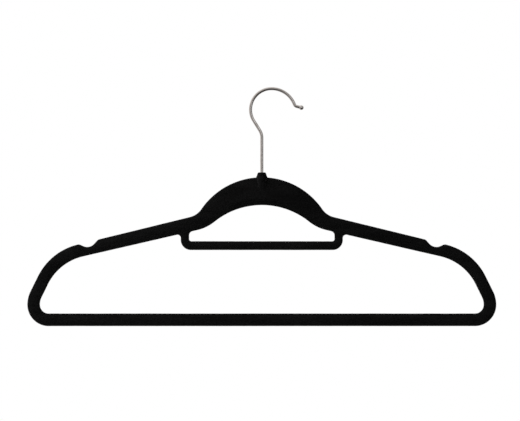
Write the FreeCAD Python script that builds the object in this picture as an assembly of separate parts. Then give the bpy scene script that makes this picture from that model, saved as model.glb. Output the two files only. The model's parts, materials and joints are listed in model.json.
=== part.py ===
import FreeCAD, Part
import math
import os

# Slim clothes hanger: a moulded plastic frame under an all-over coat of velvet flock, hung from a
# plated steel wire hook that turns freely in the neck of the frame.
#
# The frame is one flat ring. Its lower side is the trouser bar, its upper sides are two sloping arms
# with a strap notch near each shoulder, and between the arms it rises into a deep arched yoke. A
# narrow tie bar hangs under the yoke on two short posts. The foot of the hook is upset like a nail
# head and turns in a pocket inside the neck, and a steel bead closes the other end of the wire.
#
# Shapes are drawn with x measured from the hook's turning axis and z from the underside of the
# trouser bar, then moved so that the origin is where the top of a rail touches the hook.

# Driving dimensions, in millimetres, and angles in degrees. Outer sizes are over the flock.
overall_width = 450.0
frame_thickness = 5.2
flock_thickness = 0.5
edge_radius = 2.3

bar_height = 12.0
side_width = 12.0
side_slope = 63.7
side_start = 27.2          # height where the sloping side, drawn on, meets the widest line
corner_low_radius = 20.5
corner_high_radius = 28.4
shoulder_radius = 57.6
shoulder_inner_radius = 50.0

arm_slope = 13.75
arm_height = 121.5         # top line of the arms, drawn on to the turning axis
arm_depth = 15.1           # straight down from that line to the underside, at the same place
arm_taper = 0.75           # how much flatter the underside runs than the top

notch_flank_inner = 47.0
notch_flank_outer = 24.0
notch_length = 19.0        # from lip to lip, along the arm
notch_floor_radius = 9.0
notch_lip_radius = 3.5
notch_land = 0.2           # straight stretch between the shoulder and the notch's outer lip

yoke_rise = 21.3           # crown of the yoke above where the arms' top lines meet
yoke_radius = 70.3
yoke_blend_radius = 19.0
yoke_depth = 26.7          # from the crown straight down to the underside
yoke_under_radius = 72.5
yoke_under_blend_radius = 41.0

tie_bar_width = 155.5
tie_bar_height = 8.35
tie_slot_height = 34.75    # from the tie bar up to the underside of the yoke
tie_post_width = 8.0
tie_corner_radius = 9.6
tie_slot_low_radius = 2.2
tie_slot_high_radius = 4.2
tie_post_blend_radius = 3.2

neck_rise = 4.7            # from the crown of the yoke to the mouth of the neck
neck_top_radius = 3.9
neck_shoulder_radius = 5.2
neck_shoulder_drop = 1.5   # below the crown, as the next two
neck_belly_radius = 4.6
neck_belly_drop = 8.5
neck_belly_round = 14.0
neck_tail_radius = 2.0
neck_tail_drop = 13.5
neck_tail_round = 1.0
neck_round = 2.0           # at the mouth
neck_web_inset = 0.3       # how far the web beside the neck stays inside the round neck
neck_web_drop = 1.0        # from the mouth to the top of that web
neck_web_blend = 1.4

wire_diameter = 3.0
hook_insertion = 12.0      # from the mouth of the neck to the end of the wire's foot
shank_rise = 33.2          # straight shank above the mouth
lean_angle = 32.0
lean_bend_radius = 14.0
lean_length = 10.6
crown_bend_radius = 20.1   # from the lean to the top of the hook
nose_bend_radius = 23.5    # from the top of the hook towards its tip
nose_bend_angle = 69.5
tip_bend_radius = 2.8
tip_bend_angle = 55.5
tip_length = 4.8           # from the last bend to the middle of the bead
bead_diameter = 4.5

head_diameter = 5.0
head_thickness = 1.2
swivel_clearance = 0.06    # radial and axial, between the wire and the moulding
flock_clearance = 0.26     # radial, between the wire and the flock round the mouth

# Sizes that follow from those above
half_width = overall_width / 2
wire_radius = wire_diameter / 2
underside_slope = arm_slope - arm_taper
underside_height = arm_height - arm_depth
yoke_crown = arm_height + yoke_rise
yoke_under_crown = yoke_crown - yoke_depth
neck_mouth = yoke_crown + neck_rise
foot_height = neck_mouth - hook_insertion
tie_half_width = tie_bar_width / 2
tie_slot_half = tie_half_width - tie_post_width
tie_bar_top = yoke_under_crown - tie_slot_height
tie_bar_underside = tie_bar_top - tie_bar_height


def at(x, z):
    return FreeCAD.Vector(x, 0, z)


def heading(angle):
    """Unit vector in the plane of the frame, angle degrees above +x."""
    return at(math.cos(math.radians(angle)), math.sin(math.radians(angle)))


def left_of(direction):
    return at(-direction.z, direction.x)


def crossing(point_a, angle_a, point_b, angle_b):
    """Where two lines cross, each given by a point and its direction in degrees."""
    along_a = heading(angle_a)
    across_b = left_of(heading(angle_b))
    step = (point_b - point_a).dot(across_b) / along_a.dot(across_b)
    return point_a + along_a * step


def tangent_length(radius, turn):
    """How far from its corner an arc starts, where the line turns by that many degrees."""
    return radius * math.tan(math.radians(turn / 2))


def mirrored(right_half):
    """A whole loop of (point, radius) corners from its right half, listed anticlockwise from the bottom."""
    left_half = [(at(-point.x, point.z), radius) for point, radius in reversed(right_half) if point.x > 1e-6]
    return right_half + left_half


def rounded_loop(corners, inset):
    """Closed wire of straight runs and tangent arcs through (point, radius) corners. The material is on
    its left, and the whole wire is moved into the material by inset."""
    arcs = []
    for i, (corner, radius) in enumerate(corners):
        incoming = (corner - corners[i - 1][0]).normalize()
        outgoing = (corners[(i + 1) % len(corners)][0] - corner).normalize()
        side = 1 if incoming.cross(outgoing).y < 0 else -1
        normals = left_of(incoming) + left_of(outgoing)
        corner = corner + normals * (inset / (1 + left_of(incoming).dot(left_of(outgoing))))
        radius = radius - side * inset
        reach = tangent_length(radius, math.degrees(incoming.getAngle(outgoing)))
        start = corner - incoming * reach
        end = corner + outgoing * reach
        centre = start + left_of(incoming) * (side * radius)
        middle = centre - normals.normalize() * (side * radius)
        arcs.append((start, middle, end))
    edges = []
    for i, (start, middle, end) in enumerate(arcs):
        edges.append(Part.Arc(start, middle, end).toShape())
        following = arcs[(i + 1) % len(arcs)][0]
        if (following - end).Length > 1e-6:
            edges.append(Part.LineSegment(end, following).toShape())
    return Part.Wire(edges)


def flank_angle(crown, crown_radius, blend_radius, line_height, line_slope):
    """Steepest angle of an arch that runs out of its crown arc straight into the arc that blends it
    with an arm's sloping line."""
    slope = math.radians(line_slope)
    to_line = blend_radius + (line_height - crown + crown_radius) * math.cos(slope)
    return line_slope + math.degrees(math.acos(to_line / (crown_radius + blend_radius)))


def arch_corner(crown, radius, upper_angle, lower_angle):
    """Where two tangents of an arch's crown arc meet, touching it at those angles from its top."""
    middle = heading(90 - (upper_angle + lower_angle) / 2)
    half_span = math.radians((lower_angle - upper_angle) / 2)
    return at(0, crown - radius) + middle * (radius / math.cos(half_span))


def notch_corners(shoulder):
    """Corners of one strap notch, from its outer lip to its inner one. Its place follows the shoulder."""
    to_shoulder = tangent_length(shoulder_radius, side_slope - arm_slope)
    to_lip = tangent_length(notch_lip_radius, arm_slope + notch_flank_outer)
    outer_lip = shoulder + heading(180 - arm_slope) * (to_shoulder + to_lip + notch_land)
    inner_lip = outer_lip + heading(180 - arm_slope) * notch_length
    floor = crossing(outer_lip, notch_flank_outer, inner_lip, -notch_flank_inner)
    return [(outer_lip, notch_lip_radius), (floor, notch_floor_radius), (inner_lip, notch_lip_radius)]


def outer_corners():
    """Outside of the frame: trouser bar, side, shoulder, notch, arm, yoke and the web beside the neck."""
    side_foot = at(half_width, side_start)
    shoulder = crossing(side_foot, 180 - side_slope, at(0, arm_height), -arm_slope)
    flank = flank_angle(yoke_crown, yoke_radius, yoke_blend_radius, arm_height, arm_slope)
    web_half = neck_shoulder_radius - neck_web_inset
    near_neck = math.degrees(math.asin((web_half + neck_web_blend) / yoke_radius))
    yoke_corner = arch_corner(yoke_crown, yoke_radius, near_neck, flank)
    arm_corner = crossing(yoke_corner, -flank, at(0, arm_height), -arm_slope)
    neck_taper = math.degrees(math.atan2(neck_shoulder_radius - neck_top_radius, neck_rise + neck_shoulder_drop))
    web_foot = crossing(yoke_corner, 180 - near_neck, at(web_half, yoke_crown), 90 + neck_taper)
    web_top = crossing(web_foot, 90 + neck_taper, at(0, neck_mouth - neck_web_drop), 0)
    right_half = [(at(half_width, 0), corner_low_radius), (side_foot, corner_high_radius)]
    right_half += [(shoulder, shoulder_radius)]
    right_half += notch_corners(shoulder)
    right_half += [(arm_corner, yoke_blend_radius), (yoke_corner, yoke_radius)]
    right_half += [(web_foot, neck_web_blend), (web_top, edge_radius + neck_web_inset)]
    return mirrored(right_half)


def opening_corners():
    """Inside of the ring, with the tie bar and its posts left standing in it."""
    inner_half = half_width - side_width
    drop = side_width * math.tan(math.radians((90 - side_slope) / 2))
    side_foot = at(inner_half, side_start - drop)
    underside = at(0, underside_height)
    shoulder = crossing(side_foot, 180 - side_slope, underside, -underside_slope)
    post_top = crossing(at(tie_half_width, 0), 90, underside, -underside_slope)
    right_half = [(at(inner_half, bar_height), corner_low_radius - side_width)]
    right_half += [(side_foot, corner_high_radius - side_width)]
    right_half += [(shoulder, shoulder_inner_radius), (post_top, tie_post_blend_radius)]
    right_half += [(at(tie_half_width, tie_bar_underside), tie_corner_radius)]
    return list(reversed(mirrored(right_half)))


def tie_slot_corners():
    """The slot between the tie bar and the underside of the yoke."""
    flank = flank_angle(
        yoke_under_crown, yoke_under_radius, yoke_under_blend_radius, underside_height, underside_slope
    )
    peak = arch_corner(yoke_under_crown, yoke_under_radius, -flank, flank)
    underside = at(0, underside_height)
    blend = crossing(peak, -flank, underside, -underside_slope)
    post_top = crossing(at(tie_slot_half, 0), 90, underside, -underside_slope)
    right_half = [(at(tie_slot_half, tie_bar_top), tie_slot_low_radius), (post_top, tie_slot_high_radius)]
    right_half += [(blend, yoke_under_blend_radius), (peak, yoke_under_radius)]
    return list(reversed(mirrored(right_half)))


def frame_slab(inset):
    """The flat ring with rounded long edges, shrunk all over by inset."""
    thickness = frame_thickness - 2 * inset
    loops = [rounded_loop(corners, inset) for corners in (outer_corners(), opening_corners(), tie_slot_corners())]
    face = Part.Face(loops)
    face.translate(FreeCAD.Vector(0, -thickness / 2, 0))
    slab = face.extrude(FreeCAD.Vector(0, thickness, 0))
    rims = [edge for edge in slab.Edges if edge.BoundBox.YLength < 1e-6]
    return slab.makeFillet(edge_radius - inset, rims)


def neck_swelling(inset):
    """Round neck that carries the hook, running down into the yoke as a tapering swelling."""
    right_half = [
        (at(neck_tail_radius, yoke_crown - neck_tail_drop), neck_tail_round),
        (at(neck_belly_radius, yoke_crown - neck_belly_drop), neck_belly_round),
        (at(neck_shoulder_radius, yoke_crown - neck_shoulder_drop), neck_shoulder_radius),
        (at(neck_top_radius, neck_mouth), neck_round),
    ]
    profile = Part.Face(rounded_loop(mirrored(right_half), inset))
    height = neck_mouth - foot_height + neck_tail_drop
    right_side = Part.makeBox(overall_width, 1, 2 * height, FreeCAD.Vector(0, -0.5, neck_mouth - height))
    half_profile = profile.common(right_side).Faces[0]
    return half_profile.revolve(at(0, 0), at(0, 1), 360)


def frame_body(inset):
    return frame_slab(inset).fuse(neck_swelling(inset)).removeSplitter()


def on_axis(radius, low, high):
    """Round plug on the turning axis."""
    return Part.makeCylinder(radius, high - low, at(0, low))


def hook_foot(clearance):
    """Shank and upset head as they lie inside the neck, grown by clearance."""
    shank = on_axis(wire_radius + clearance, foot_height, neck_mouth)
    head = on_axis(head_diameter / 2 + clearance, foot_height - clearance, foot_height + head_thickness + clearance)
    return shank.fuse(head)


def bent_path(start, angle, steps):
    """Path of a formed wire: for each (feed, turn, bend radius), a straight feed and then a bend, where
    a positive turn is to the left. Gives the edges, the end point, its direction and the bends' centres."""
    edges = []
    centres = []
    point = start
    for feed, turn, radius in steps:
        if feed > 0:
            ahead = point + heading(angle) * feed
            edges.append(Part.LineSegment(point, ahead).toShape())
            point = ahead
        if turn:
            side = math.copysign(1, turn)
            centre = point + left_of(heading(angle)) * (side * radius)
            middle = centre - left_of(heading(angle + turn / 2)) * (side * radius)
            angle += turn
            end = centre - left_of(heading(angle)) * (side * radius)
            edges.append(Part.Arc(point, middle, end).toShape())
            centres.append(centre)
            point = end
    return edges, point, angle, centres


hook_steps = [
    (hook_insertion + shank_rise, lean_angle, lean_bend_radius),
    (lean_length, -90 - lean_angle, crown_bend_radius),
    (0, -nose_bend_angle, nose_bend_radius),
    (0, tip_bend_angle, tip_bend_radius),
    (tip_length, 0, 0),
]
hook_edges, bead_centre, tip_angle, bend_centres = bent_path(at(0, foot_height), 90, hook_steps)
rail_seat = bend_centres[1] + at(0, crown_bend_radius - wire_radius)


def swivel_hook():
    """Steel wire with an upset head at its foot."""
    path = Part.Wire(hook_edges)
    section = Part.Wire(Part.makeCircle(wire_radius, at(0, foot_height), at(0, 1)))
    wire = path.makePipeShell([section], True, False)
    head = on_axis(head_diameter / 2, foot_height, foot_height + head_thickness)
    return wire.fuse(head).removeSplitter()


def tip_bead():
    """Round steel bead on the end of the wire, which enters it as far as its middle."""
    bead = Part.makeSphere(bead_diameter / 2, bead_centre)
    socket = Part.makeCylinder(wire_radius, bead_diameter, bead_centre, heading(tip_angle + 180))
    return bead.cut(socket)


def frame_core():
    """The moulding under the flock, with the bore and the pocket that hold the hook's foot."""
    return frame_body(flock_thickness).cut(hook_foot(swivel_clearance))


def flock_coat():
    """Velvet pile and adhesive on every outer surface of the moulding, open where the wire comes out."""
    mouth = on_axis(wire_radius + flock_clearance, neck_mouth - neck_rise, neck_mouth + neck_rise)
    return frame_body(0).cut(frame_body(flock_thickness)).cut(mouth)


def export(name, shape):
    shape.translate(rail_seat * -1)
    solids = shape.Solids
    if len(solids) != 1 or not shape.isValid():
        raise ValueError(f"{name} is {len(solids)} solids, valid: {shape.isValid()}")
    solids[0].exportStep(f"parts/{name}.step")
    box = solids[0].BoundBox
    print(f"{name}: {box.XLength:.2f} x {box.YLength:.2f} x {box.ZLength:.2f} mm, {solids[0].Volume:.0f} mm3")


os.makedirs("parts", exist_ok=True)
export("frame_core", frame_core())
export("flock_coat", flock_coat())
export("swivel_hook", swivel_hook())
export("hook_tip_bead", tip_bead())
wire_length = sum(edge.Length for edge in hook_edges)
print(f"wire: {wire_length:.1f} mm long, {wire_length * math.pi * wire_radius**2:.0f} mm3 before its head")
print(f"rail seat: {rail_seat.x:.2f} mm from the turning axis, {rail_seat.z:.2f} mm above the underside")
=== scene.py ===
import json

import bpy
import numpy as np
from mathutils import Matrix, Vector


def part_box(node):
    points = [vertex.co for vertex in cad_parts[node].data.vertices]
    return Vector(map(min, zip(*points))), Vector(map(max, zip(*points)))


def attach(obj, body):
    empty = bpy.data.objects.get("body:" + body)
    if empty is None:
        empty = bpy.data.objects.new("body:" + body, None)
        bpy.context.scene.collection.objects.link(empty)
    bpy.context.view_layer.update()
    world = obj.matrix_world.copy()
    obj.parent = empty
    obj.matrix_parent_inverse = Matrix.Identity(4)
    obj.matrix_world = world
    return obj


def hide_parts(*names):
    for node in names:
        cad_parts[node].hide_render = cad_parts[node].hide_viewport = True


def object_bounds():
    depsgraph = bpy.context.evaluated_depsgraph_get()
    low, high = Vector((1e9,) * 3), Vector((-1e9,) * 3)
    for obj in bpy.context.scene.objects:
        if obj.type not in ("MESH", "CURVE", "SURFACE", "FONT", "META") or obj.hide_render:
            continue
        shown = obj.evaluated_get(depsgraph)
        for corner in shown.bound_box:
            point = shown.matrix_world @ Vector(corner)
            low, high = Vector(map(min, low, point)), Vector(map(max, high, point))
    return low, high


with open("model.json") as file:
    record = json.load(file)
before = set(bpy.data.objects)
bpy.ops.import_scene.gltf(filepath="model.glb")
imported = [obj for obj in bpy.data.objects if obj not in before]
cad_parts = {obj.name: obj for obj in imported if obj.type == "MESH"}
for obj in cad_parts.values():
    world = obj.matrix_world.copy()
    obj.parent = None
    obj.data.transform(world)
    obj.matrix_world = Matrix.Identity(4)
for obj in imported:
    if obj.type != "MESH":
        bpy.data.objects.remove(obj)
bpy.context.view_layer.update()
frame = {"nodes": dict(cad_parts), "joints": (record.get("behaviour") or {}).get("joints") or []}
print("frame loaded:", sorted(frame["nodes"]))

# Sizes are in millimetres and angles in degrees. A drawing point is a complex number: x from the hook's
# turning axis, and upwards from the underside of the trouser bar. makePiece puts it in its place, in metres.
millimetre = 0.001
turningAxis = frame["joints"][0]["pos_m"][0] / millimetre
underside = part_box("flock_coat")[0].z / millimetre
latticeSize = 32
noiseLattice = np.random.default_rng(7).random((latticeSize,) * 3)


def heading(angle):  # unit vector, angle above +x
    return np.exp(1j * np.radians(angle))


def fullTurn(count):  # that many even steps round a circle, in radians
    return np.radians(np.arange(count) * 360 / count)


def eased(t):  # 3t^2 - 2t^3: level at 0 and at 1
    return t * t * (3 - 2 * t)


def cross(a, b):  # a.x * b.z - a.z * b.x
    return np.imag(np.conj(a) * b)


def crossing(pointA, angleA, pointB, angleB):  # where two lines meet: A + d * cross(B - A, e) / cross(d, e)
    along, other = heading(angleA), heading(angleB)
    return pointA + along * cross(pointB - pointA, other) / cross(along, other)


def lengthAlong(line):  # from the line's start to each of its points
    return np.concatenate(([0], np.cumsum(np.abs(np.diff(line)))))


def readLine(wanted, length, values):  # complex values at the wanted lengths
    return np.interp(wanted, length, values.real) + 1j * np.interp(wanted, length, values.imag)


def spaced(line, spacing):  # the same line with its points a steady distance apart
    length = lengthAlong(line)
    wanted = np.linspace(0, length[-1], max(2, round(length[-1] / spacing) + 1))
    return readLine(wanted, length, line)


def roundedLine(corners, spacing, closed=True, arcPoints=48):
    # straight runs and tangent arcs: each arc starts radius * tan(turn / 2) before its corner and turns
    # about its centre, which lies one radius to the side that the line turns to
    points = []
    ends = range(len(corners)) if closed else range(1, len(corners) - 1)
    for i in ends:
        corner, radius = corners[i]
        incoming = corner - corners[i - 1][0]
        outgoing = corners[(i + 1) % len(corners)][0] - corner
        incoming, outgoing = incoming / abs(incoming), outgoing / abs(outgoing)
        turn = np.angle(outgoing / incoming)
        start = corner - incoming * radius * np.tan(abs(turn) / 2)
        centre = start + 1j * incoming * np.sign(turn) * radius
        points.append(centre + (start - centre) * np.exp(1j * turn * np.linspace(0, 1, arcPoints)))
    if closed:
        points.append(points[0][:1])
    else:
        points = [np.array([corners[0][0]])] + points + [np.array([corners[-1][0]])]
    return spaced(np.concatenate(points), spacing)


def mirrored(rightHalf):  # a closed loop, anticlockwise from the bottom, from its right half
    onAxis = 1e-6
    left = [(-np.conj(point), radius) for point, radius in reversed(rightHalf) if point.real > onAxis]
    return rightHalf + left


def reachTo(outline, points, directions, furthest):
    # distance from each point along its direction to the nearest edge: solve p + t d = a + s (b - a), keep
    # t > 0 with s between 0 and 1, and take the smallest t
    nearlyParallel = 1e-12
    start, edge = outline[:-1], np.diff(outline)
    gap = start[None, :] - points[:, None]
    slope = cross(directions[:, None], edge[None, :])
    slope = np.where(np.abs(slope) < nearlyParallel, nearlyParallel, slope)
    t = cross(gap, edge[None, :]) / slope
    s = cross(gap, directions[:, None]) / slope
    return np.where((t > 0) & (s >= 0) & (s <= 1), t, furthest).min(1)


def distanceTo(outline, points):
    # to the nearest edge: from the foot of the perpendicular, kept between the edge's ends
    start, edge = outline[:-1], np.diff(outline)
    gap = points[:, None] - start
    foot = np.clip(np.real(gap * np.conj(edge)) / np.abs(edge) ** 2, 0, 1)
    return np.abs(gap - foot * edge).min(1)


def smoothNoise(points, size, seed):
    # value noise: random numbers on a lattice of that size, eased from each lattice point to the next
    seedShift = 31.7
    place = points / size + seedShift * seed
    low = np.floor(place).astype(int)
    t = eased(place - low)
    total = 0
    for corner in np.ndindex(2, 2, 2):
        weight = np.prod(np.where(corner, t, 1 - t), -1)
        i, j, k = np.moveaxis((low + corner) % latticeSize, -1, 0)
        total = total + weight * noiseLattice[i, j, k]
    return total * 2 - 1


def gridNormals(grid, wrapRows):  # cross product of the steps along the rows and round the columns
    def step(axis, wrap):
        if wrap:
            return np.roll(grid, -1, axis) - np.roll(grid, 1, axis)
        return np.gradient(grid, axis=axis)
    normal = np.cross(step(0, wrapRows), step(1, True))
    return normal / np.maximum(np.linalg.norm(normal, axis=-1, keepdims=True), 1e-9)


def gridFaces(rows, columns, wrapRows):  # a face between each four neighbours, closed round the columns
    i = np.arange(rows if wrapRows else rows - 1)[:, None]
    j = np.arange(columns)[None, :]
    nextI, nextJ = (i + 1) % rows, (j + 1) % columns
    corners = i * columns + j, nextI * columns + j, nextI * columns + nextJ, i * columns + nextJ
    return np.stack(np.broadcast_arrays(*corners), -1).reshape(-1, 4)


def makePiece(name, grid, wrapRows, material, body, node, uv=None):
    # a grid of points, closed round its columns; where the rows don't wrap, a fan closes each end
    rows, columns = grid.shape[:2]
    points = grid.reshape(-1, 3)
    quads = gridFaces(rows, columns, wrapRows)
    loops = [quads.ravel()]
    sizes = [np.full(len(quads), 4)]
    if not wrapRows:
        around = np.arange(columns)
        first, last = len(points), len(points) + 1
        points = np.vstack((points, grid[0].mean(0), grid[-1].mean(0)))
        startFan = np.stack((np.full(columns, first), around, np.roll(around, -1)), 1)
        around = around + (rows - 1) * columns
        endFan = np.stack((np.full(columns, last), np.roll(around, -1), around), 1)
        loops += [startFan.ravel(), endFan.ravel()]
        sizes += [np.full(2 * columns, 3)]
    loops, sizes = np.concatenate(loops), np.concatenate(sizes)
    place = points * millimetre + np.array([turningAxis, 0, underside]) * millimetre
    mesh = bpy.data.meshes.new(name)
    mesh.vertices.add(len(place))
    mesh.vertices.foreach_set("co", place.astype(np.float32).ravel())
    mesh.loops.add(len(loops))
    mesh.loops.foreach_set("vertex_index", loops.astype(np.int32))
    mesh.polygons.add(len(sizes))
    mesh.polygons.foreach_set("loop_start", (np.cumsum(sizes) - sizes).astype(np.int32))
    mesh.polygons.foreach_set("use_smooth", np.ones(len(sizes), bool))
    mesh.update(calc_edges=True)
    mesh.validate()
    if uv is not None:
        corners = np.zeros(len(mesh.loops), np.int32)
        mesh.loops.foreach_get("vertex_index", corners)
        uv = np.vstack((uv.reshape(-1, 2), uv[0].mean(0), uv[-1].mean(0)))
        mesh.uv_layers.new(name="along").data.foreach_set("uv", uv[corners].astype(np.float32).ravel())
    mesh.materials.append(material)
    piece = bpy.data.objects.new(name, mesh)
    bpy.context.scene.collection.objects.link(piece)
    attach(piece, body)
    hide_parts(node)
    print(f"{name}: {len(mesh.vertices)} points")


def makeGroup(name, inputs, outputs):
    group = bpy.data.node_groups.new(name, "ShaderNodeTree")
    for socket, kind, value in inputs:
        group.interface.new_socket(socket, in_out="INPUT", socket_type=kind).default_value = value
    for socket in outputs:
        group.interface.new_socket(socket, in_out="OUTPUT", socket_type="NodeSocketFloat")
    return group, group.nodes.new("NodeGroupInput").outputs, group.nodes.new("NodeGroupOutput").inputs


def addNode(tree, kind, values=None, **settings):
    node = tree.nodes.new("ShaderNode" + kind)
    for key, value in settings.items():
        setattr(node, key, value)
    for socket, value in (values or {}).items():
        node.inputs[socket].default_value = value
    return node


def give(tree, value, socket):  # a socket takes another node's output, a number, or a colour
    if isinstance(value, bpy.types.NodeSocket):
        tree.links.new(value, socket)
    else:
        socket.default_value = (*value, 1) if isinstance(value, tuple) else value


def mathNode(tree, operation, first, second):
    node = addNode(tree, "Math", operation=operation)
    give(tree, first, node.inputs[0])
    give(tree, second, node.inputs[1])
    return node.outputs[0]


def noiseNode(tree, vector, scale, detail=2.0, roughness=0.5, distortion=0.0):
    node = addNode(tree, "TexNoise", {"Detail": detail, "Roughness": roughness, "Distortion": distortion})
    give(tree, vector, node.inputs["Vector"])
    give(tree, scale, node.inputs["Scale"])
    return node.outputs["Fac"]


def rangeNode(tree, value, fromLow, fromHigh, toLow=0.0, toHigh=1.0):
    node = addNode(tree, "MapRange", {1: fromLow, 2: fromHigh, 3: toLow, 4: toHigh})
    give(tree, value, node.inputs[0])
    return node.outputs[0]


def mixColours(tree, factor, first, second):
    node = addNode(tree, "Mix", data_type="RGBA")
    for value, socket in ((factor, 0), (first, 6), (second, 7)):
        give(tree, value, node.inputs[socket])
    return node.outputs[2]


def addBump(tree, shader, height, strength, depth):
    bump = addNode(tree, "Bump", {"Strength": strength, "Distance": depth})
    give(tree, height, bump.inputs["Height"])
    give(tree, bump.outputs["Normal"], shader.inputs["Normal"])


def makeMaterial(name, values):
    material = bpy.data.materials.new(name)
    material.use_nodes = True
    tree = material.node_tree
    shader = tree.nodes["Principled BSDF"]
    for socket, value in values.items():
        shader.inputs[socket].default_value = value
    return material, tree, shader


def pileGroup():
    # short upright pile: single fibre tips, clumps of them, and broad patches where a hand has brushed it
    group, given, made = makeGroup("pileField", [
        ("Vector", "NodeSocketVector", (0, 0, 0)), ("Fibre Scale", "NodeSocketFloat", 5200.0),
        ("Clump Scale", "NodeSocketFloat", 700.0), ("Brush Scale", "NodeSocketFloat", 38.0),
        ("Brush Stretch", "NodeSocketVector", (0.45, 1.0, 2.2))], ["Tips", "Clumps", "Brushed", "Height"])
    stretched = addNode(group, "VectorMath", operation="MULTIPLY")
    give(group, given["Vector"], stretched.inputs[0])
    give(group, given["Brush Stretch"], stretched.inputs[1])
    fibres = noiseNode(group, given["Vector"], given["Fibre Scale"], 2.0, 0.6)
    tufts = noiseNode(group, given["Vector"], given["Clump Scale"], 3.0, 0.6, 0.4)
    strokes = noiseNode(group, stretched.outputs[0], given["Brush Scale"], 4.0, 0.55, 1.2)
    tips = rangeNode(group, fibres, 0.50, 0.74)
    clumps = rangeNode(group, tufts, 0.3, 0.7)
    brushedSheen = rangeNode(group, strokes, 0.38, 0.66)
    fibreHeight = mathNode(group, "MULTIPLY", tips, 0.6)
    clumpHeight = mathNode(group, "MULTIPLY", clumps, 0.4)
    height = mathNode(group, "ADD", fibreHeight, clumpHeight)
    for name, value in (("Tips", tips), ("Clumps", clumps), ("Brushed", brushedSheen), ("Height", height)):
        give(group, value, made[name])
    return group


def wearGroup():
    # cloudy smudges, and fine lines that follow the surface, as on any handled hard surface
    group, given, made = makeGroup("handledSurface", [
        ("Vector", "NodeSocketVector", (0, 0, 0)), ("Line Vector", "NodeSocketVector", (0, 0, 0)),
        ("Smudge Scale", "NodeSocketFloat", 90.0), ("Line Scale", "NodeSocketFloat", 30.0)],
        ["Smudges", "Lines"])
    smudges = noiseNode(group, given["Vector"], given["Smudge Scale"], 4.0, 0.6, 0.5)
    lines = noiseNode(group, given["Line Vector"], given["Line Scale"], 3.0, 0.65)
    give(group, rangeNode(group, smudges, 0.35, 0.7), made["Smudges"])
    give(group, rangeNode(group, lines, 0.4, 0.7), made["Lines"])
    return group


pileField = pileGroup()
handledSurface = wearGroup()

velvetLook = {
    "deep": (0.0012, 0.0012, 0.0012),     # black pile with painted shade down between the fibres
    "tip": (0.0150, 0.0147, 0.0150),      # fibre ends that catch light
    "brushedSheen": (0.0072, 0.0071, 0.0072),  # painted sheen where the pile leans over
    "brushedSheenShare": 0.55,
    "roughness": (0.98, 0.82),            # upright pile, brushed pile
    "sheen": 0.16,
    "sheenRoughness": 0.24,
    "specular": 0.03,
    "bump": 0.8,
    "pileDepth": 0.00022,                 # metres
}


def velvetMaterial(name):
    look = velvetLook
    material, tree, shader = makeMaterial(name, {
        "Sheen Weight": look["sheen"], "Sheen Roughness": look["sheenRoughness"],
        "Specular IOR Level": look["specular"]})
    pile = addNode(tree, "Group", node_tree=pileField)
    give(tree, addNode(tree, "TexCoord").outputs["Object"], pile.inputs["Vector"])
    made = pile.outputs
    # the black pile speckled with painted shade between the fibres and a painted highlight on their tips
    fibres = mixColours(tree, made["Tips"], look["deep"], look["tip"])
    # lighter patches of painted sheen where the brushed pile leans over, broken up by the clumps
    sheenPatch = mathNode(tree, "MULTIPLY", made["Brushed"], made["Clumps"])
    sheenPatch = mathNode(tree, "MULTIPLY", sheenPatch, look["brushedSheenShare"])
    give(tree, mixColours(tree, sheenPatch, fibres, look["brushedSheen"]), shader.inputs["Base Color"])
    give(tree, rangeNode(tree, made["Brushed"], 0, 1, *look["roughness"]), shader.inputs["Roughness"])
    addBump(tree, shader, made["Height"], look["bump"], look["pileDepth"])
    return material


platedLook = {
    "bright": (0.72, 0.688, 0.670),
    "dull": (0.52, 0.482, 0.460),
    "dullShare": 0.7,
    "smudgeScale": 160.0,
    "roughness": (0.10, 0.24),            # clean plate, smudged plate
    "drawnLines": 0.06,
    "lineDepth": 0.00005,                 # metres
}


def platedMaterial(name, lineScale):
    # bright plate over drawn wire: the die's fine lines run along it, and handling clouds it in places
    look = platedLook
    material, tree, shader = makeMaterial(name, {"Metallic": 1.0})
    place = addNode(tree, "TexCoord").outputs
    wear = addNode(tree, "Group", {"Smudge Scale": look["smudgeScale"], "Line Scale": lineScale},
                   node_tree=handledSurface)
    give(tree, place["Object"], wear.inputs["Vector"])
    give(tree, place["UV"], wear.inputs["Line Vector"])
    smudges = wear.outputs["Smudges"]
    mark = mathNode(tree, "MULTIPLY", smudges, look["dullShare"])
    give(tree, mixColours(tree, mark, look["bright"], look["dull"]), shader.inputs["Base Color"])
    give(tree, rangeNode(tree, smudges, 0, 1, *look["roughness"]), shader.inputs["Roughness"])
    addBump(tree, shader, wear.outputs["Lines"], look["drawnLines"], look["lineDepth"])
    return material


mouldedLook = {
    "dark": (0.006, 0.006, 0.0062),
    "pale": (0.016, 0.0155, 0.016),
    "roughness": (0.42, 0.62),
    "specular": 0.4,
    "grainScale": 3000.0,
    "bump": 0.2,
    "grainDepth": 0.00004,                # metres
}


def mouldedMaterial(name):
    # plain black plastic, seen only in the mouth of the neck
    look = mouldedLook
    material, tree, shader = makeMaterial(name, {"Specular IOR Level": look["specular"]})
    grain = noiseNode(tree, addNode(tree, "TexCoord").outputs["Object"], look["grainScale"], 3.0)
    give(tree, mixColours(tree, grain, look["dark"], look["pale"]), shader.inputs["Base Color"])
    give(tree, rangeNode(tree, grain, 0.3, 0.7, *look["roughness"]), shader.inputs["Roughness"])
    addBump(tree, shader, grain, look["bump"], look["grainDepth"])
    return material


velvetBlack = velvetMaterial("velvetBlack")
platedWire = platedMaterial("platedWire", 26.0)
platedBead = platedMaterial("platedBead", 14.0)
mouldedBlack = mouldedMaterial("mouldedBlack")
print("materials made")

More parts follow.
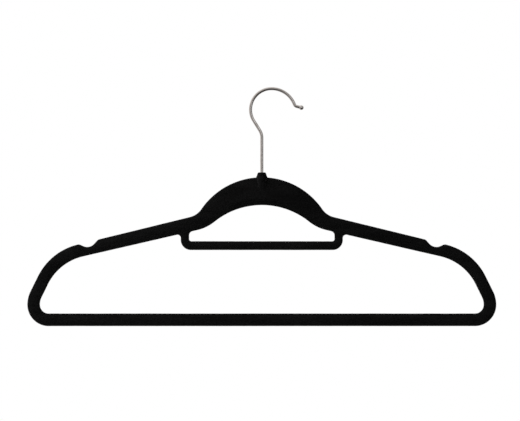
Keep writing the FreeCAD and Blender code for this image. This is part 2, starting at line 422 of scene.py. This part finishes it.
hangerForm = {   # the outline of the frame
    "halfWidth": 225.0,
    "barHeight": 12.0, "sideWidth": 12.0, "sideSlope": 63.7, "sideStart": 27.2,
    "lowCorner": 20.5, "highCorner": 28.4, "shoulder": 57.6, "innerShoulder": 50.0,
    "armSlope": 13.75, "armHeight": 121.5, "armDepth": 15.1, "armTaper": 0.75,
    "notchFlanks": (47.0, 24.0), "notchLength": 19.0, "notchFloor": 9.0, "notchLip": 3.5, "notchLand": 0.2,
    "crown": 142.8, "yoke": 70.3, "yokeBlend": 19.0,
    "underCrown": 116.1, "underYoke": 72.5, "underBlend": 41.0,
    "tieHalfWidth": 77.75, "tiePost": 8.0, "tieTop": 81.35, "tieUnderside": 73.0,
    "tieCorner": 9.6, "tieSlotLow": 2.2, "tieSlotHigh": 4.2, "tiePostBlend": 3.2,
}
armUnder = hangerForm["armHeight"] - hangerForm["armDepth"]
underSlope = hangerForm["armSlope"] - hangerForm["armTaper"]


def flankAngle(crown, radius, blend, lineHeight, lineSlope):
    # the slope s where an arch's crown arc meets the arc that blends it with an arm's line of slope l:
    # cos(s - l) = (blend + (height - crown + radius) cos l) / (radius + blend)
    toLine = blend + (lineHeight - crown + radius) * np.cos(np.radians(lineSlope))
    return lineSlope + np.degrees(np.arccos(toLine / (radius + blend)))


def outerCorners(notched):
    # the right side, the shoulder, the strap notch if wanted, and the yoke, each corner with its radius
    form = hangerForm
    sideFoot = form["halfWidth"] + 1j * form["sideStart"]
    apex = 1j * form["armHeight"]
    shoulder = crossing(sideFoot, 180 - form["sideSlope"], apex, -form["armSlope"])
    right = [(form["halfWidth"] + 0j, form["lowCorner"]), (sideFoot, form["highCorner"]),
             (shoulder, form["shoulder"])]
    if notched:
        steep, gentle = form["notchFlanks"]
        inwards = heading(180 - form["armSlope"])
        toShoulder = form["shoulder"] * np.tan(np.radians(form["sideSlope"] - form["armSlope"]) / 2)
        toLip = form["notchLip"] * np.tan(np.radians(form["armSlope"] + gentle) / 2)
        outerLip = shoulder + inwards * (toShoulder + toLip + form["notchLand"])
        innerLip = outerLip + inwards * form["notchLength"]
        floor = crossing(outerLip, gentle, innerLip, -steep)
        right += [(outerLip, form["notchLip"]), (floor, form["notchFloor"]), (innerLip, form["notchLip"])]
    flank = flankAngle(form["crown"], form["yoke"], form["yokeBlend"], form["armHeight"], form["armSlope"])
    peak = 1j * (form["crown"] - form["yoke"] + form["yoke"] / np.cos(np.radians(flank)))
    right += [(crossing(peak, -flank, apex, -form["armSlope"]), form["yokeBlend"]), (peak, form["yoke"])]
    return mirrored(right)


def innerSide():  # the frame's inner edge from the trouser bar up to the arm's underside
    form = hangerForm
    inner = form["halfWidth"] - form["sideWidth"]
    drop = form["sideWidth"] * np.tan(np.radians(90 - form["sideSlope"]) / 2)
    sideFoot = inner + 1j * (form["sideStart"] - drop)
    shoulder = crossing(sideFoot, 180 - form["sideSlope"], 1j * armUnder, -underSlope)
    return [(inner + 1j * form["barHeight"], form["lowCorner"] - form["sideWidth"]),
            (sideFoot, form["highCorner"] - form["sideWidth"]), (shoulder, form["innerShoulder"])]


def archUnderside():  # the blend with the arm's underside, then the arch over the tie bar
    form = hangerForm
    flank = flankAngle(form["underCrown"], form["underYoke"], form["underBlend"], armUnder, underSlope)
    peak = 1j * (form["underCrown"] - form["underYoke"] + form["underYoke"] / np.cos(np.radians(flank)))
    blend = crossing(peak, -flank, 1j * armUnder, -underSlope)
    return [(blend, form["underBlend"]), (peak, form["underYoke"])]


def underArm(x):  # the corner where an upright at x meets the arm's underside
    return crossing(x + 0j, 90, 1j * armUnder, -underSlope)


def openingCorners():  # the large opening, with the tie bar across its top
    form = hangerForm
    half = form["tieHalfWidth"]
    right = [(underArm(half), form["tiePostBlend"]), (half + 1j * form["tieUnderside"], form["tieCorner"])]
    return mirrored(innerSide() + right)


def slotCorners():  # the slot between the tie bar and the yoke
    form = hangerForm
    half = form["tieHalfWidth"] - form["tiePost"]
    right = [(half + 1j * form["tieTop"], form["tieSlotLow"]), (underArm(half), form["tieSlotHigh"])]
    return mirrored(right + archUnderside())


velvetForm = {   # the coat's section and its unevenness
    "spacing": 0.76, "outlineSpacing": 0.4, "widest": 40.0, "acrossFace": 14, "roundRim": 7,
    "rimLand": 0.3, "rimRadius": 1.9,         # the rounded edge of every bar
    "crownHeight": 0.75, "crownReach": 8.0,   # the faces rise a little from their edges
    "clumpSize": 2.6, "clumpHeight": 0.030,   # soft unevenness of the pile
    "waveSize": 17.0, "waveHeight": 0.045,    # slow thick and thin in the adhesive
    "seamHeight": 0.10, "seamWidth": 0.42,    # the mould's parting line, blurred by the pile
    "seamWear": 9.0,                          # how far apart the seam grows and fades
}


def depthFromEdge(distance):
    # half the thickness at a distance from the outline, by the same land, arc and rise as a carried strip
    form = velvetForm
    radius, reach, rise = form["rimRadius"], form["crownReach"], form["crownHeight"]
    arcEnd = radius * (1 - np.sin(np.arctan(2 * rise / reach)))
    arc = np.sqrt(radius ** 2 - (radius - np.minimum(distance, arcEnd)) ** 2)
    t = np.clip((distance - arcEnd) / reach, 0, 1)
    return form["rimLand"] + arc + rise * (1 - (1 - t) ** 2)


def carriedStrip(path, across, low, high):
    # A flat bar carried along a path, from low to high along the direction across. Its rim is a land and an
    # arc, (r - r cos a, land + r sin a), and its face then rises by H (1 - (1 - t)^2) over a reach D towards
    # its middle. The arc ends at the slope 2 H / D, so the two are tangent. The columns run so that the
    # faces point outwards.
    form = velvetForm
    radius = form["rimRadius"]
    rimShare = 0.78  # of the rim's radius that a narrow bar's arc takes up
    half = (high - low)[:, None] / 2
    reach = np.minimum(form["crownReach"], half - rimShare * radius)
    rise = form["crownHeight"] * np.sqrt(reach / form["crownReach"])
    slope = np.arctan(2 * rise / reach)
    arc = np.linspace(0, 1, form["roundRim"]) * (np.pi / 2 - slope)
    rimIn, rimUp = radius - radius * np.cos(arc), form["rimLand"] + radius * np.sin(arc)
    ends = rimIn[:, -1:]
    spread = (1 - np.cos(np.linspace(0, np.pi, form["acrossFace"] + 2)[1:-1])) / 2
    faceIn = ends + spread * 2 * (half - ends)
    t = np.clip((np.minimum(faceIn, 2 * half - faceIn) - ends) / reach, 0, 1)
    faceUp = rimUp[:, -1:] + rise * (1 - (1 - t) ** 2)
    width = 2 * half
    farIn = (width - rimIn)[:, ::-1]
    inwards = np.concatenate((rimIn, faceIn, farIn, width - rimIn, width - faceIn, rimIn[:, ::-1]), 1)
    depth = np.concatenate((rimUp, faceUp, rimUp[:, ::-1], -rimUp, -faceUp, -rimUp[:, ::-1]), 1)
    flat = path[:, None] + across[:, None] * (low[:, None] + inwards)
    return np.stack((flat.real, depth, flat.imag), -1)[:, ::-1]


def piled(grid, wrapRows):
    # pushed out along its normals by clumps, by slow waves, and by a soft ridge exp(-(y / width)^2) where
    # the two mould halves met
    form = velvetForm
    normal = gridNormals(grid, wrapRows)
    push = form["clumpHeight"] * smoothNoise(grid, form["clumpSize"], 1)
    push = push + form["waveHeight"] * smoothNoise(grid, form["waveSize"], 2)
    onRim = np.clip(1.4 * (1 - np.abs(normal[..., 1])) - 0.4, 0, 1)
    seam = np.exp(-(grid[..., 1] / form["seamWidth"]) ** 2) * onRim
    push = push + form["seamHeight"] * seam * (0.75 + 0.4 * smoothNoise(grid, form["seamWear"], 3))
    return grid + normal * (push - 0.5 * form["waveHeight"])[..., None]


def velvetFrame():
    # the ring is carried along its outline without the notches, and the notched outline and the openings
    # then set how far out and in each section reaches
    form = velvetForm
    outer = roundedLine(outerCorners(False), form["spacing"])[:-1]
    along = np.roll(outer, -1) - np.roll(outer, 1)
    inwards = 1j * along / np.abs(along)
    middle = hangerForm["barHeight"] / 2
    core = outer + inwards * middle
    notched = roundedLine(outerCorners(True), form["outlineSpacing"])
    inside = roundedLine(mirrored(innerSide() + archUnderside()), form["outlineSpacing"])
    low = middle - reachTo(notched, core, -inwards, middle)
    high = middle + reachTo(inside, core, inwards, form["widest"])
    grid = piled(carriedStrip(outer, inwards, low, high), True)
    makePiece("velvetFrame", grid, True, velvetBlack, "frame", "flock_coat")


tieForm = {   # the tie bar and its two posts
    "spacing": 0.3, "outlineSpacing": 0.3,
    "buried": 4.5,                           # length of each post's end inside its arm
    "sunk": 0.02, "sunkEnd": 0.35,           # its faces lie below the arm's, and deeper at the end
    "flare": 8.6,                            # half the width that takes in the fillets at the arms
    "filletDrop": 8.0, "filletBlend": 3.5,   # the fillets' rounding starts this far below the arm
    "aside": 22.0, "below": 16.0,            # the stretch of outline that the fillets are measured from
}


def velvetTieBar():
    # a strip carried down one post, along the bar and up the other, as wide as slot and opening leave
    form, tie = hangerForm, tieForm
    halfPost = form["tiePost"] / 2
    x = form["tieHalfWidth"] - halfPost
    z = (form["tieTop"] + form["tieUnderside"]) / 2
    joint = underArm(x).imag
    top = joint + tie["buried"]
    corner = form["tieCorner"] - halfPost
    line = roundedLine([(-x + 1j * top, 0), (-x + 1j * z, corner), (x + 1j * z, corner), (x + 1j * top, 0)],
                       tie["spacing"], False)
    along = np.gradient(line)
    across = 1j * along / np.abs(along)
    slot = roundedLine(slotCorners(), tie["outlineSpacing"])
    opening = roundedLine(openingCorners(), tie["outlineSpacing"])
    high = reachTo(slot, line, across, tie["flare"]).clip(0, tie["flare"])
    low = -reachTo(opening, line, -across, tie["flare"]).clip(0, tie["flare"])
    grid = carriedStrip(line, across, low, high)
    # near the arms the rounded edge turns with the fillets, so its depth goes by the distance to the outline
    t = np.clip((grid[..., 2] - joint + tie["filletDrop"]) / tie["filletBlend"], 0, 1)
    near = t > 0
    share = eased(t)[near]
    side = np.sign(grid[..., 1])
    depth = np.abs(grid[..., 1])
    flat = np.abs(grid[..., 0]) + 1j * grid[..., 2]
    distance = np.full(len(share), tie["aside"])
    for loop in (slot, opening):
        beside = (np.abs(loop.real - x) < tie["aside"]) & (loop.imag > joint - tie["below"])
        distance = np.minimum(distance, distanceTo(loop[beside], flat[near]))
    depth[near] += (depthFromEdge(distance) - depth[near]) * share
    buried = np.clip((grid[..., 2] - joint) / tie["buried"], 0, 1)
    grid[..., 1] = side * (depth - tie["sunk"] - tie["sunkEnd"] * buried ** 2)
    grid = piled(grid, False)
    makePiece("velvetTieBar", grid, False, velvetBlack, "frame", "flock_coat")


neckForm = {
    "mouth": 147.5, "topRadius": 3.9, "topRound": 1.8,
    "shoulderRadius": 5.2, "shoulderDrop": 1.5, "bellyRadius": 4.6, "bellyDrop": 8.5, "bellyRound": 14.0,
    "tailRadius": 2.0, "tailDrop": 13.5, "tailRound": 1.0,
    "holeRadius": 1.76, "lip": 0.35, "holeDepth": 0.7, "holeFoot": 0.1,
    "liningRadius": 2.9, "liningTop": 0.2, "liningRound": 2.0, "wall": 2.0,   # hidden inside the plastic
    "flare": 0.5, "flareHeight": 1.5, "around": 96, "spacing": 0.45,
}


def velvetNeck():
    # a turned shape: outside up from its tail, over the lip, down the hole past the pile, and back down
    # inside the plastic, with a flare a exp(-(z / height)^2) cos(turn)^6 where the yoke meets its sides
    form, crown = neckForm, hangerForm["crown"]
    mouth = 1j * form["mouth"]
    hole = mouth - 1j * form["holeDepth"]
    shoulder = 1j * (crown - form["shoulderDrop"])
    belly = 1j * (crown - form["bellyDrop"])
    tail = 1j * (crown - form["tailDrop"])
    profile = roundedLine([
        (tail, 0),
        (form["tailRadius"] + tail, form["tailRound"]),
        (form["bellyRadius"] + belly, form["bellyRound"]),
        (form["shoulderRadius"] + shoulder, form["shoulderRadius"]),
        (form["topRadius"] + mouth, form["topRound"]),
        (form["holeRadius"] + mouth, form["lip"]),
        (form["holeRadius"] + hole, form["holeFoot"]),
        (form["liningRadius"] + hole, form["liningTop"]),
        (form["liningRadius"] + belly, form["liningRound"]),
        (tail + 1j * form["wall"], 0),
    ], form["spacing"], False)[1:-1]
    turn = fullTurn(form["around"])
    outside = np.arange(len(profile)) < np.argmax(profile.imag)
    flare = form["flare"] * np.exp(-((profile.imag - crown) / form["flareHeight"]) ** 2) * outside
    radius = profile.real[:, None] + flare[:, None] * np.cos(turn) ** 6
    height = np.broadcast_to(profile.imag[:, None], radius.shape)
    grid = np.stack((radius * np.cos(turn), radius * np.sin(turn), height), -1)[:, ::-1]
    grid = np.where(outside[:, None, None], piled(grid, False), grid)
    makePiece("velvetNeck", grid, False, velvetBlack, "frame", "flock_coat")


velvetFrame()
velvetTieBar()
velvetNeck()
frame["nodes"]["frame_core"].material_slots[0].material = mouldedBlack
print("frame covered")

hookForm = {
    "wireRadius": 1.5, "foot": 135.5,
    "headRadius": 2.5, "headHeight": 1.2, "headEdge": 0.35,
    "edgeShare": (0, 0.12, 0.5, 1.0), "edgeLoss": (0.5, 0.25, 0.08, 0),   # how the head's edges are rounded
    "steps": [   # straight length, turn and bend radius, from the foot up
        (45.2, 32.0, 14.0), (10.6, -122.0, 20.1), (0.0, -69.5, 23.5), (0.0, 55.5, 2.8), (4.8, 0.0, 0.0)],
    "spacing": 0.35, "around": 40, "headGap": 0.2,
    "squeeze": 0.06, "squeezeRadius": 2.8, "squeezeSpread": 9,   # a tight bend flattens the wire a little
    "lineStretch": 0.012,
}


def bentWire(start, angle, steps, spacing):
    # a straight feed, then a bend about a centre one bend radius to the left (positive turn) or right
    runs, bendings = [np.array([start])], [np.zeros(1)]
    point = start
    for feed, turn, radius in steps:
        if feed:
            ahead = point + heading(angle) * feed
            runs.append(spaced(np.array([point, ahead]), spacing)[1:])
            bendings.append(np.zeros(len(runs[-1])))
            point = ahead
        if turn:
            side = np.sign(turn)
            centre = point + 1j * heading(angle) * side * radius
            count = max(6, round(np.radians(abs(turn)) * radius / spacing))
            sweep = np.exp(1j * np.radians(turn) * np.arange(1, count + 1) / count)
            runs.append(centre + (point - centre) * sweep)
            bendings.append(np.full(count, side / radius))
            angle, point = angle + turn, runs[-1][-1]
    return np.concatenate(runs), np.concatenate(bendings), angle


def hookWire():
    # a round section carried along the bent line, thicker at its upset foot and slightly flat in its
    # tightest bend, where it loses a share of its width and gains half of that in depth
    form = hookForm
    line, bend, tipAngle = bentWire(1j * form["foot"], 90, form["steps"], form["spacing"])
    length = lengthAlong(line)
    head = form["headHeight"]
    edge = form["headEdge"] * np.array(form["edgeShare"])
    edgeRadius = form["headRadius"] - np.array(form["edgeLoss"])
    headLengths = np.concatenate((edge, head - edge[::-1], [head]))
    headRadii = np.concatenate((edgeRadius, edgeRadius[::-1], [form["wireRadius"]]))
    wanted = np.concatenate((headLengths, length[length > head + form["headGap"]]))
    radius = np.full(len(wanted), form["wireRadius"])
    radius[:len(headRadii)] = headRadii
    centre = readLine(wanted, length, line)
    along = readLine(wanted, length, np.gradient(line))
    across = 1j * along / np.abs(along)
    spread = form["squeezeSpread"]
    smooth = np.convolve(np.pad(np.abs(bend), spread // 2, "edge"), np.ones(spread) / spread, "valid")
    flat = form["squeeze"] * np.clip(np.interp(wanted, length, smooth) * form["squeezeRadius"], 0, 1)
    turn = fullTurn(form["around"])
    inPlane = (radius * (1 - flat))[:, None] * np.cos(turn)
    depth = (radius * (1 + 0.5 * flat))[:, None] * np.sin(turn)
    place = centre[:, None] + across[:, None] * inPlane
    grid = np.stack((place.real, depth, place.imag), -1)
    uv = np.stack(np.broadcast_arrays(turn / (2 * np.pi), wanted[:, None] * form["lineStretch"]), -1)
    makePiece("hookWire", grid, False, platedWire, "hook", "swivel_hook", uv)
    return line[-1], tipAngle


beadForm = {
    "radius": 2.25, "collar": 1.72, "seat": 0.25, "collarEdge": (0.06, 0.04),
    "bore": 1.30, "boreDepth": 0.9, "boreLip": 1.50, "boreEdge": 0.1,   # hidden in the wire
    "flatFrom": 0.16, "flatAt": 0.15, "flatRadius": 0.12,               # radians from the tip, and mm
    "rows": 34, "around": 48, "lineStretch": 0.05,
}


def tipBead(centre, tipAngle):
    # a turned bead on the wire's end: a small collar where the wire enters, a ball (r cos a, r sin a), and
    # a flat left by its tool
    form = beadForm
    radius, collar = form["radius"], form["collar"]
    start = -np.sqrt(radius ** 2 - collar ** 2)
    mouth = start - form["seat"]
    edgeAlong, edgeIn = form["collarEdge"]
    ball = np.linspace(np.arctan2(collar, start), form["flatFrom"], form["rows"])
    socket = [start + form["boreDepth"], mouth + form["boreEdge"], mouth, mouth + edgeAlong]
    socketOut = [form["bore"], form["bore"], form["boreLip"], collar - edgeIn]
    along = np.concatenate((socket, radius * np.cos(ball), [radius * np.cos(form["flatAt"])]))
    out = np.concatenate((socketOut, radius * np.sin(ball), [form["flatRadius"]]))
    turn = fullTurn(form["around"])
    direction = heading(tipAngle)
    place = centre + direction * along[:, None] + 1j * direction * out[:, None] * np.cos(turn)
    grid = np.stack((place.real, out[:, None] * np.sin(turn), place.imag), -1)
    uv = np.stack(np.broadcast_arrays(turn / (2 * np.pi), along[:, None] * form["lineStretch"]), -1)
    makePiece("tipBead", grid, False, platedBead, "hook", "hook_tip_bead", uv)


tipBead(*hookWire())
print("hook bent")

studio = {   # metres, but the aim is a drawing point
    "viewWidth": 0.4991, "distance": 3.0, "sensor": 36.0, "aim": (-1.73, 110.9),
    "floorDrop": 0.20, "floorRadius": 1.35, "floorRings": 40, "floorAround": 96,
    "floorFade": (0.35, 0.98), "floorClouds": 6.0,
    "floorPale": (0.90, 0.90, 0.895), "floorWhite": (0.93, 0.93, 0.93),
    "roomLight": 0.14, "roomTint": (1.0, 0.965, 0.94),
    "mirrorLean": (-0.55, 0.50, 0.67),
    "mirrorStops": [(0.0, 0.04), (0.15, 0.08), (0.27, 0.25), (0.5, 0.42), (0.75, 0.72), (0.9, 0.85)],
}
studioLights = {   # place and size in metres, watts, colour, and whether the plated wire mirrors it
    "key": ((-1.25, -0.38, 1.45), (0.7, 0.7), 110, (1.0, 0.995, 0.985), False),
    "fill": ((0.9, -1.8, 0.2), (0.8, 1.2), 4, (0.98, 0.99, 1.0), True),
    "back": ((0.3, 1.6, 0.9), (1.4, 0.6), 8, (1.0, 1.0, 1.0), False),
}
low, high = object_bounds()
middle = (low + high) / 2


def addCamera():  # square on from the front: lens = sensor * distance / width of the view
    data = bpy.data.cameras.new("camera")
    data.sensor_width = studio["sensor"]
    data.lens = studio["sensor"] * studio["distance"] / studio["viewWidth"]
    data.clip_start, data.clip_end = 0.05, 50
    camera = bpy.data.objects.new("camera", data)
    right, up = studio["aim"]
    place = (turningAxis + right) * millimetre, -studio["distance"], (underside + up) * millimetre
    camera.location = place
    camera.rotation_euler = (np.pi / 2, 0, 0)
    bpy.context.scene.collection.objects.link(camera)
    bpy.context.scene.camera = camera


def addLight(name, place, size, power, colour, inMirror):  # a soft oblong light, turned to the middle
    data = bpy.data.lights.new(name, "AREA")
    data.shape = "RECTANGLE"
    data.size, data.size_y = size
    data.energy = power
    data.color = colour
    light = bpy.data.objects.new(name, data)
    light.location = place
    light.visible_glossy = inMirror
    aim = middle - light.location
    light.rotation_euler = aim.to_track_quat("-Z", "Y").to_euler()
    bpy.context.scene.collection.objects.link(light)


def addFloor():
    # a round pale sheet below the hanging frame: rings about its centre and a fan inside the first, fading
    # out towards its rim and clear from underneath
    count, around = studio["floorAround"], np.arange(studio["floorAround"])
    rings = np.linspace(0, studio["floorRadius"], studio["floorRings"])[1:]
    height = low.z - studio["floorDrop"]
    centre = (middle.x, 0, height)
    place = (rings[:, None] * np.exp(1j * fullTurn(count))).ravel()
    points = np.stack((place.real + middle.x, place.imag, np.full(place.size, height)), 1)
    points = np.vstack((points, centre))
    quads = gridFaces(len(rings), count, False)
    fan = np.stack((np.full(count, len(points) - 1), around, np.roll(around, -1)), 1)
    mesh = bpy.data.meshes.new("floor")
    mesh.from_pydata(points.tolist(), [], quads.tolist() + fan.tolist())
    material, tree, shader = makeMaterial("paleFloor", {"Roughness": 0.9, "Specular IOR Level": 0.1})
    geometry = addNode(tree, "NewGeometry").outputs
    spot = addNode(tree, "VectorMath", {1: centre}, operation="DISTANCE")
    give(tree, geometry["Position"], spot.inputs[0])
    fadeFrom, fadeTo = (share * studio["floorRadius"] for share in studio["floorFade"])
    fade = rangeNode(tree, spot.outputs["Value"], fadeFrom, fadeTo, 1, 0)
    above = mathNode(tree, "SUBTRACT", 1.0, geometry["Backfacing"])
    give(tree, mathNode(tree, "MULTIPLY", fade, above), shader.inputs["Alpha"])
    cloud = noiseNode(tree, geometry["Position"], studio["floorClouds"])
    colour = mixColours(tree, cloud, studio["floorPale"], studio["floorWhite"])
    give(tree, colour, shader.inputs["Base Color"])
    mesh.materials.append(material)
    floor = bpy.data.objects.new("floor", mesh)
    bpy.context.scene.collection.objects.link(floor)
    floor.visible_glossy = False  # the wire's underside stays dark


def addWorld():
    # a white room to the eye; surfaces are lit by a dimmer one, and the plated wire mirrors a room that is
    # bright above and to the left and dark low on the right
    world = bpy.data.worlds.new("studio")
    bpy.context.scene.world = world
    world.use_nodes = True
    tree = world.node_tree
    lean = addNode(tree, "VectorMath", {1: studio["mirrorLean"]}, operation="DOT_PRODUCT")
    give(tree, addNode(tree, "TexCoord").outputs["Generated"], lean.inputs[0])
    graded = addNode(tree, "ValToRGB")
    ramp = graded.color_ramp
    stops = studio["mirrorStops"]
    while len(ramp.elements) < len(stops):
        ramp.elements.new(0.5)
    for element, (place, grey) in zip(ramp.elements, stops):
        element.position = place
        element.color = (*(grey * tint for tint in studio["roomTint"]), 1)
    give(tree, rangeNode(tree, lean.outputs["Value"], -1, 1), graded.inputs[0])
    light = addNode(tree, "LightPath").outputs
    soft = (studio["roomLight"],) * 3
    seen = mixColours(tree, light["Is Glossy Ray"], soft, graded.outputs["Color"])
    seen = mixColours(tree, light["Is Camera Ray"], seen, (1.0, 1.0, 1.0))
    give(tree, seen, tree.nodes["Background"].inputs["Color"])


addCamera()
addFloor()
addWorld()
for name, settings in studioLights.items():
    addLight(name, *settings)
bpy.context.scene.view_settings.view_transform = "Standard"
print("studio lit")
